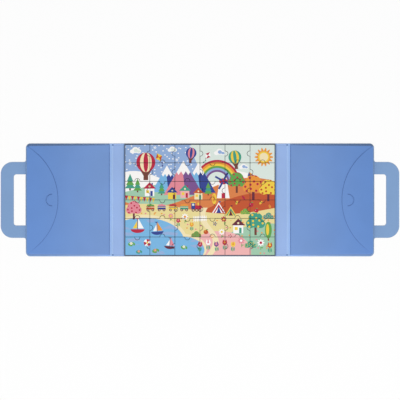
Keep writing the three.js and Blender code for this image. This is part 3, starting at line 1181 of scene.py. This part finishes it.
# What stands where in the picture, from back to front: the motif, its place as shares of the board's width
# and depth, its half height as a share of the depth, its turn in degrees, and its inks.
PICTURE_SHARES = (
    (draw_sun, 0.925, 0.885, 0.085, 0, "amber lemon cream"),
    (draw_cloud, 0.07, 0.945, 0.036, 0, "snow mist"),
    (draw_cloud, 0.315, 0.955, 0.030, 0, "snow mist"),
    (draw_cloud, 0.63, 0.93, 0.036, 0, "snow sky"),
    (draw_cloud, 0.79, 0.80, 0.030, 0, "snow sky"),
    (draw_rainbow, 0.615, 0.66, 0.20, 0, "mist"),
    (draw_mountain, 0.49, 0.70, 0.135, 0, "lake snow navy"),
    (draw_mountain, 0.28, 0.69, 0.12, 0, "lake snow navy"),
    (draw_mountain, 0.39, 0.70, 0.155, 0, "rose snow plum"),
    (draw_balloon, 0.14, 0.80, 0.125, 0, "crimson cream bark"),
    (draw_balloon, 0.735, 0.86, 0.085, 8, "teal lemon bark"),
    (draw_balloon, 0.44, 0.90, 0.070, -6, "navy rose bark"),
    (draw_kite, 0.235, 0.86, 0.065, 25, "rust lemon navy"),
    (draw_kite, 0.545, 0.88, 0.058, -30, "crimson snow teal"),
    (draw_kite, 0.84, 0.70, 0.055, 20, "navy amber crimson"),
    (draw_flake, 0.035, 0.83, 0.018, 0, "snow"),
    (draw_flake, 0.345, 0.86, 0.016, 15, "snow"),
    (draw_flake, 0.20, 0.97, 0.016, 10, "snow"),
    (draw_fir, 0.035, 0.66, 0.075, 0, "teal leaf"),
    (draw_fir, 0.085, 0.63, 0.062, 0, "leaf teal"),
    (draw_fir, 0.245, 0.60, 0.058, 0, "teal leaf"),
    (draw_fir, 0.555, 0.60, 0.060, 0, "leaf teal"),
    (draw_house, 0.165, 0.60, 0.068, 0, "snow crimson navy"),
    (draw_house, 0.315, 0.565, 0.060, 0, "lemon navy maroon"),
    (draw_house, 0.40, 0.58, 0.064, 0, "blush teal crimson"),
    (draw_house, 0.49, 0.56, 0.058, 0, "cream rust teal"),
    (draw_windmill, 0.655, 0.63, 0.115, 0, "snow crimson navy"),
    (draw_tree, 0.745, 0.66, 0.095, 0, "leaf crimson bark"),
    (draw_tree, 0.855, 0.615, 0.115, 0, "amber crimson maroon"),
    (draw_tree, 0.955, 0.59, 0.100, 0, "lemon rust maroon"),
    (draw_poplar, 0.595, 0.505, 0.055, 0, "lemon amber bark"),
    (draw_leaf, 0.79, 0.52, 0.028, 35, "crimson maroon"),
    (draw_leaf, 0.905, 0.475, 0.026, -40, "lemon rust"),
    (draw_leaf, 0.965, 0.44, 0.026, 20, "amber maroon"),
    (draw_leaf, 0.745, 0.475, 0.024, -20, "lemon leaf"),
    (draw_fruit, 0.84, 0.46, 0.026, 0, "crimson leaf rose"),
    (draw_fruit, 0.875, 0.405, 0.024, 12, "crimson leaf rose"),
    (draw_bunting, 0.10, 0.505, 0.045, -5, "crimson lemon"),
    (draw_engine, 0.475, 0.445, 0.054, 0, "crimson navy lemon"),
    (draw_wagon, 0.395, 0.44, 0.045, 0, "teal amber cream"),
    (draw_wagon, 0.32, 0.44, 0.045, 0, "lemon crimson navy"),
    (draw_wagon, 0.245, 0.44, 0.045, 0, "navy rose cream"),
    (draw_wagon, 0.17, 0.44, 0.045, 0, "rust leaf cream"),
    (draw_tree, 0.06, 0.41, 0.085, 0, "rose crimson maroon"),
    (draw_tent, 0.625, 0.43, 0.060, 0, "snow crimson navy"),
    (draw_tent, 0.705, 0.40, 0.052, 0, "lemon teal maroon"),
    (draw_bush, 0.80, 0.395, 0.040, 0, "leaf lemon"),
    (draw_bush, 0.955, 0.355, 0.046, 0, "teal rose"),
    (draw_fence, 0.50, 0.335, 0.030, 4, "snow snow"),
    (draw_daisy, 0.40, 0.335, 0.045, 0, "snow amber"),
    (draw_daisy, 0.66, 0.315, 0.040, 8, "crimson lemon"),
    (draw_daisy, 0.305, 0.345, 0.036, -8, "rose lemon"),
    (draw_tulip, 0.355, 0.30, 0.040, 0, "crimson rose"),
    (draw_tulip, 0.445, 0.265, 0.042, 0, "amber lemon"),
    (draw_star, 0.60, 0.285, 0.020, 0, "navy lemon"),
    (draw_house, 0.755, 0.27, 0.072, 0, "snow maroon teal"),
    (draw_tree, 0.87, 0.29, 0.105, 0, "teal lemon bark"),
    (draw_poplar, 0.955, 0.22, 0.085, 0, "leaf lemon bark"),
    (draw_boat, 0.085, 0.27, 0.075, 0, "crimson snow lemon"),
    (draw_boat, 0.215, 0.245, 0.066, 4, "navy amber snow"),
    (draw_boat, 0.30, 0.11, 0.058, -4, "maroon rose snow"),
    (draw_ball, 0.15, 0.115, 0.034, 15, "snow crimson lemon"),
    (draw_lily, 0.045, 0.105, 0.032, 0, "leaf snow lemon"),
    (draw_lily, 0.205, 0.045, 0.032, 10, "leaf rose lemon"),
    (draw_lily, 0.395, 0.075, 0.030, -10, "leaf snow lemon"),
    (draw_lily, 0.095, 0.035, 0.028, 0, "teal rose lemon"),
    (draw_bush, 0.475, 0.19, 0.042, 0, "leaf crimson"),
    (draw_fruit, 0.54, 0.215, 0.026, -10, "rust leaf amber"),
    (draw_daisy, 0.645, 0.20, 0.042, 0, "snow lemon"),
    (draw_tulip, 0.50, 0.085, 0.048, -5, "crimson rose"),
    (draw_tulip, 0.555, 0.10, 0.050, 0, "snow rose"),
    (draw_tulip, 0.61, 0.085, 0.048, 5, "plum rose"),
    (draw_tulip, 0.665, 0.10, 0.050, 0, "crimson amber"),
    (draw_tulip, 0.72, 0.085, 0.048, -4, "lemon amber"),
    (draw_daisy, 0.775, 0.12, 0.046, 6, "rose snow"),
    (draw_bush, 0.835, 0.10, 0.050, 0, "teal lemon"),
    (draw_daisy, 0.905, 0.10, 0.050, 0, "snow crimson"),
    (draw_tulip, 0.965, 0.075, 0.050, 0, "rust lemon"),
    (draw_star, 0.58, 0.17, 0.018, 20, "amber snow"),
    (draw_star, 0.70, 0.175, 0.018, 5, "crimson snow"),
)


def motif_group(draw):
    art = Motif(draw.__name__.replace("draw_", "motif_"))
    draw(art)
    return art.give(Colour=art.colour)


MOTIFS = {draw: motif_group(draw) for draw in dict.fromkeys(row[0] for row in PICTURE_SHARES)}
SCENERY = motif_group(draw_scenery)

# How far a motif reaches from its centre, in half heights, and how far a wide one does
REACH_SHARE = 1.2
WIDE_REACH_SHARES = {draw_bunting: 3.1, draw_fence: 2.1, draw_cloud: 1.5}


# Print and the other materials

def print_surface():
    """Varnished paper: fine tooth, a thin dark border round the whole picture, and painted shade on the rim
    where the die has rounded a piece's edge, which darkens the seams between pieces."""
    effect = Effect(
        "print_surface", {"Place": "Vector", "Normal": "Vector", "Colour": "Color"},
        {"Colour": "Color", "Roughness": "Float", "Height": "Float"})
    place = effect.source["Place"]
    tooth = effect.noise(place, scale=3200, detail=2)
    cloudy = effect.noise(place, scale=55, detail=2)
    tone = effect.ramp(tooth, 0.3, 0.7, 0.955, 1.0)
    colour = effect.times(effect.times(effect.source["Colour"], PAPER), effect.grey(tone))
    edge = (board_high.x, board_high.y, 0)
    across, up, _ = effect.apart(effect.vector("SUBTRACT", effect.vector("ABSOLUTE", place), edge))
    border = effect.math("GREATER_THAN", effect.math("MAXIMUM", across, up), -BORDER)
    colour = effect.mix(border, colour, PAINTED_SEAM_SHADE)
    # Painted shade on each piece's rounded rim, which darkens the seams
    seam_shade = effect.ramp(effect.apart(effect.source["Normal"])["Z"], 0.999, 0.93, 0.0, 0.95)
    return effect.give(
        Colour=effect.mix(seam_shade, colour, PAINTED_SEAM_SHADE),
        Roughness=effect.ramp(cloudy, 0.3, 0.7, 0.5, 0.6),
        Height=effect.math("MULTIPLY_ADD", cloudy, 2.0, tooth))


PRINT_SURFACE = print_surface()


def falls_on(piece, place, reach):
    """True where something with this reach can touch the piece with this centre, or its tabs."""
    gap = place - piece
    reach += TAB_NECK + TAB_RADIUS
    return abs(gap.x) <= piece_wide / 2 + reach and abs(gap.y) <= piece_deep / 2 + reach


def print_material(row, column):
    """The part of the picture that falls on one piece."""
    finish = Finish(f"print_r{row + 1}_c{column + 1}")
    corner = Vector((board_low.x - PIECE_GAP / 2, board_low.y - PIECE_GAP / 2, 0))
    spot = finish.mapped(finish.place, corner, 0, (board_wide, board_deep, 1))
    colour = finish.use(SCENERY, Spot=spot, Under=INKS["mist"])[0]
    for draw, across, up, size_share, turn, inks in PICTURE_SHARES:
        place = corner + Vector((across * board_wide, up * board_deep, 0))
        size = size_share * board_deep
        if falls_on(piece_centre(row, column), place, size * WIDE_REACH_SHARES.get(draw, REACH_SHARE)):
            spot = finish.mapped(finish.place, place, math.radians(turn), (size, size, 1))
            named = {label: INKS[ink] for label, ink in zip(("First", "Second", "Third"), inks.split())}
            colour = finish.use(MOTIFS[draw], Spot=spot, Under=colour, **named)[0]
    paper = finish.use(PRINT_SURFACE, Place=finish.place, Normal=finish.normal, Colour=colour)
    finish.set("Specular IOR Level", 0.3)
    return finish.wear(
        paper["Colour"], paper["Roughness"], paper["Height"], strength=0.25, distance=0.02 * MM)


def card_side():
    """The side of a piece: layered grey card on a sheet of black magnet."""
    finish = Finish("card_side")
    height = finish.apart(finish.place)["Z"]
    layers = finish.noise(finish.stretched(finish.place, (90, 90, 9000)), scale=1, detail=3)
    fibres = finish.noise(finish.place, scale=1800, detail=2)
    share = finish.ramp(finish.math("ADD", layers, fibres), 0.8, 1.2)
    split = piece_foot + MAGNET_SHARE * (piece_top - piece_foot)
    card = finish.math("GREATER_THAN", height, split)
    colour = finish.mix(card, MAGNET_BLACK, finish.mix(share, BOARD_FLECK, BOARD_GREY))
    rough = finish.ramp(height, split - MAGNET_BLEND, split, 0.55, 0.9)
    return finish.wear(colour, rough, share, strength=0.4, distance=0.05 * MM)


def board_card():
    """Grey board: pressed fibres and darker flecks."""
    finish = Finish("board_card")
    fibres = finish.noise(finish.stretched(finish.place, (700, 160, 2500), turn=0.3), scale=1, detail=4)
    flecks = finish.ramp(finish.noise(finish.place, scale=520, detail=2), 0.62, 0.7)
    colour = finish.mix(finish.ramp(fibres, 0.3, 0.7, 0.0, 0.5), BOARD_GREY, BOARD_FLECK)
    colour = finish.mix(flecks, colour, BOARD_FLECK)
    rough = finish.ramp(fibres, 0.2, 0.8, 0.82, 0.95)
    return finish.wear(colour, rough, fibres, strength=0.5, distance=0.08 * MM)


def tinned_steel():
    """Rolled tinplate: fine lines along the roll and a soft cloudy sheen."""
    finish = Finish("tinned_steel")
    lines = finish.noise(finish.stretched(finish.place, (25, 2600, 2600)), scale=1, detail=3)
    cloudy = finish.noise(finish.place, scale=30, detail=2)
    colour = finish.times(STEEL, finish.grey(finish.ramp(lines, 0.3, 0.7, 0.9, 1.0)))
    finish.set("Metallic", 1.0)
    rough = finish.ramp(finish.math("ADD", lines, cloudy), 0.7, 1.3, 0.24, 0.4)
    return finish.wear(colour, rough, lines, strength=0.2, distance=0.02 * MM)


def face_laminate():
    """Dark paper laminated to the board, with a linen press and lighter rubbed patches. It shows only in
    the gaps between pieces, where its dark colour also stands in for their shade.
    """
    finish = Finish("face_laminate")
    turns = finish.vector("MULTIPLY", finish.place, (THREAD_TURNS, THREAD_TURNS, 0))
    x, y, _ = finish.apart(finish.vector("SINE", turns))
    weave = finish.math("MULTIPLY", x, y)
    rubbed = finish.ramp(finish.noise(finish.place, scale=22, detail=4), 0.5, 0.75, 0.0, 0.35)
    colour = finish.mix(rubbed, GAP_SHADE_LAMINATE, LAMINATE_RUBBED)
    rough = finish.ramp(weave, -1.0, 1.0, 0.5, 0.62)
    return finish.wear(colour, rough, weave, strength=0.3, distance=0.03 * MM)


def dress(piece, *materials):
    """Gives the piece these materials and no others."""
    piece.data.materials.clear()
    for material in materials:
        piece.data.materials.append(material)


# Putting it together

SHEET_EDGE = (CUT_EDGE, 0.9995, 0.992, 0.85)
# Painted shade on the pocket's rim and walls, with the fold's own deeper colour; it fades towards the
# crease
FOLDED_EDGE_AND_SHADE = (FOLD_EDGE_AND_SHADE, 0.97, 0.5, 0.5)
# Painted shade at the flap's edge and slit, fading near the flap's corners
FLAP_EDGE_SHADE = (FLAP_PAINTED_SHADE, 0.9998, 0.988, 0.78)
# Painted shade on the bead's steep sides
BEAD_EDGE_SHADE = (BEAD_PAINTED_SHADE, 0.6, 0.2, 0.6)
cover_plastic = plastic("cover_plastic", LINING_BLUE, HANDLE_BLUE, tray_low.x, panel_edge, SHEET_EDGE)
backing_plastic = plastic(
    "backing_plastic", HANDLE_BLUE, HANDLE_BLUE, 0, panel_edge, SHEET_EDGE, shaded_top=PAINTED_BOARD_SHADOW)
spine_plastic = plastic("spine_plastic", SPINE_BLUE, SPINE_BLUE, board_crease, panel_crease, SHEET_EDGE)
crease_plastic = plastic(
    "crease_plastic", PAINTED_CREASE_SHADE, CREASE_PALE, board_crease + CREASE_TURN, panel_crease, SHEET_EDGE)
pocket_plastic = plastic(
    "pocket_plastic", POCKET_PALE, POCKET_DEEP, tray_low.x, tray_high.x, FOLDED_EDGE_AND_SHADE,
    fade=("X", tray_low.x, tray_low.x + FOLD_SHADE_FADE))
flap_plastic = plastic(
    "flap_plastic", POCKET_PALE, POCKET_DEEP, tray_low.x, tray_high.x, FLAP_EDGE_SHADE,
    fade=("Y", flap_high.y, flap_high.y - FLAP_SHADE_FADE))
bead_plastic = plastic("bead_plastic", POCKET_DEEP, HANDLE_BLUE, tray_low.x, tray_high.x, BEAD_EDGE_SHADE)


def fit_pair(right, material, slot, body, *nodes):
    """Finishes a piece of the right side, mirrors it, and puts each of the two on its own body. One that
    replaces no node, such as the bead, is smooth as it is."""
    if nodes:
        tidy_faces(right)
        soften(right, EDGE_ROUND)
    for side, piece in (("right", right), ("left", mirrored(right))):
        shade(piece)
        dress(piece, material)
        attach(piece, f"{side}_{body}")
        if nodes:
            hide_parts(*[f"{side}_{node}" for node in nodes])


cover = half_cover()
fit_pair(handle_panel(cover), cover_plastic, "cover_sheet", "panel", "cover_panel")
fit_pair(spine(cover), spine_plastic, "spine_sheet", "spine", "spine_strip")
fit_pair(backing(cover), backing_plastic, "cover_sheet", "half", "back_sheet")
fit_pair(pocket_shell(), pocket_plastic, "pocket_sheet", "panel", "pocket_tray", "pocket_front")
fit_pair(pocket_flap(), flap_plastic, "pocket_sheet", "flap", "flap")
fit_pair(flap_bead(), bead_plastic, "pocket_sheet", "panel")
bpy.data.objects.remove(cover)

for name, crease, body_a, body_b in (
    ("centre_web", 0, "left_half", "right_half"),
    ("right_spine_web", board_crease, "right_half", "right_spine"),
    ("right_panel_web", panel_crease, "right_spine", "right_panel"),
    ("left_spine_web", -board_crease, "left_spine", "left_half"),
    ("left_panel_web", -panel_crease, "left_panel", "left_spine"),
):
    strip = web(name, crease)
    dress(strip, crease_plastic)

side_material = card_side()
for (row, column), tile in puzzle_tiles().items():
    dress(tile, print_material(row, column), side_material)
    for face in tile.data.polygons:
        face.material_index = 0 if face.center.z > piece_top - RIM_PRESS else 1
    shade(tile)
    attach(tile, f"piece_r{row + 1}_c{column + 1}")
    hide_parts(f"puzzle_piece_r{row + 1}_c{column + 1}")

board_materials = {"board_core": board_card(), "steel_sheet": tinned_steel(), "board_face": face_laminate()}
for side in ("left", "right"):
    for node, material in board_materials.items():
        dress(frame["nodes"][f"{side}_{node}"], material)


# Floor, light and camera

def floor():
    """A pale floor, nearly clear to the camera, so that it shows the white backdrop and a soft shadow."""
    bpy.ops.object.select_all(action="DESELECT")
    bpy.ops.mesh.primitive_plane_add(size=FLOOR_SIZE, location=(0, 0, -FLOOR_DROP))
    ground = bpy.context.object
    ground.name = "floor"
    finish = Finish("floor_white")
    finish.set("Base Color", (FLOOR_WHITE, FLOOR_WHITE, FLOOR_WHITE, 1))
    finish.set("Roughness", 0.9)
    finish.set("Specular IOR Level", 0)
    seen = finish.node("ShaderNodeLightPath").outputs["Is Camera Ray"]
    share = finish.math("MULTIPLY", seen, FLOOR_CLEAR)
    clear = finish.node("ShaderNodeBsdfTransparent")
    both = finish.node("ShaderNodeMixShader", (share, finish.shader.outputs[0], clear.outputs[0]))
    finish.put(finish.tree.nodes["Material Output"].inputs["Surface"], both.outputs[0])
    dress(ground, finish.material)


def world():
    """A soft even light. Seen by the camera, in a gloss or through glass, the room is white."""
    space = bpy.data.worlds.new("studio")
    space.use_nodes = True
    bpy.context.scene.world = space
    bench = Bench(space.node_tree)
    path = bench.node("ShaderNodeLightPath").outputs
    backdrop = bench.node("ShaderNodeBackground", ((1, 1, 1, 1), 1.0))
    room = bench.node("ShaderNodeBackground", ((1, 1, 1, 1), ROOM_LIGHT))
    direct = bench.math("MAXIMUM", path["Is Camera Ray"], path["Is Transmission Ray"])
    seen = bench.math("MAXIMUM", direct, path["Is Glossy Ray"])
    mix = bench.node("ShaderNodeMixShader", (seen, room.outputs[0], backdrop.outputs[0]))
    bench.put(space.node_tree.nodes["World Output"].inputs["Surface"], mix.outputs[0])


def lamp(name, place, size, watts):
    """A square lamp that faces the middle of the board."""
    bpy.ops.object.light_add(type="AREA", location=place)
    light = bpy.context.object
    light.name = name
    light.data.size = size
    light.data.energy = watts
    light.rotation_euler = (-Vector(place)).to_track_quat("-Z", "Y").to_euler()


def camera():
    bpy.ops.object.camera_add(location=CAMERA_PLACE)
    eye = bpy.context.object
    eye.data.sensor_fit = "HORIZONTAL"
    eye.data.sensor_width = SENSOR_WIDTH
    eye.data.lens = SENSOR_WIDTH * CAMERA_PLACE.z / (IMAGE_WIDTH * PIXEL)
    bpy.context.scene.camera = eye


floor()
world()
lamp("key", place=(0.0, -2.1, 2.3), size=1.2, watts=55)
lamp("fill", place=(0.0, -0.4, 3.2), size=1.6, watts=6)
camera()
bpy.context.scene.view_settings.view_transform = "Standard"
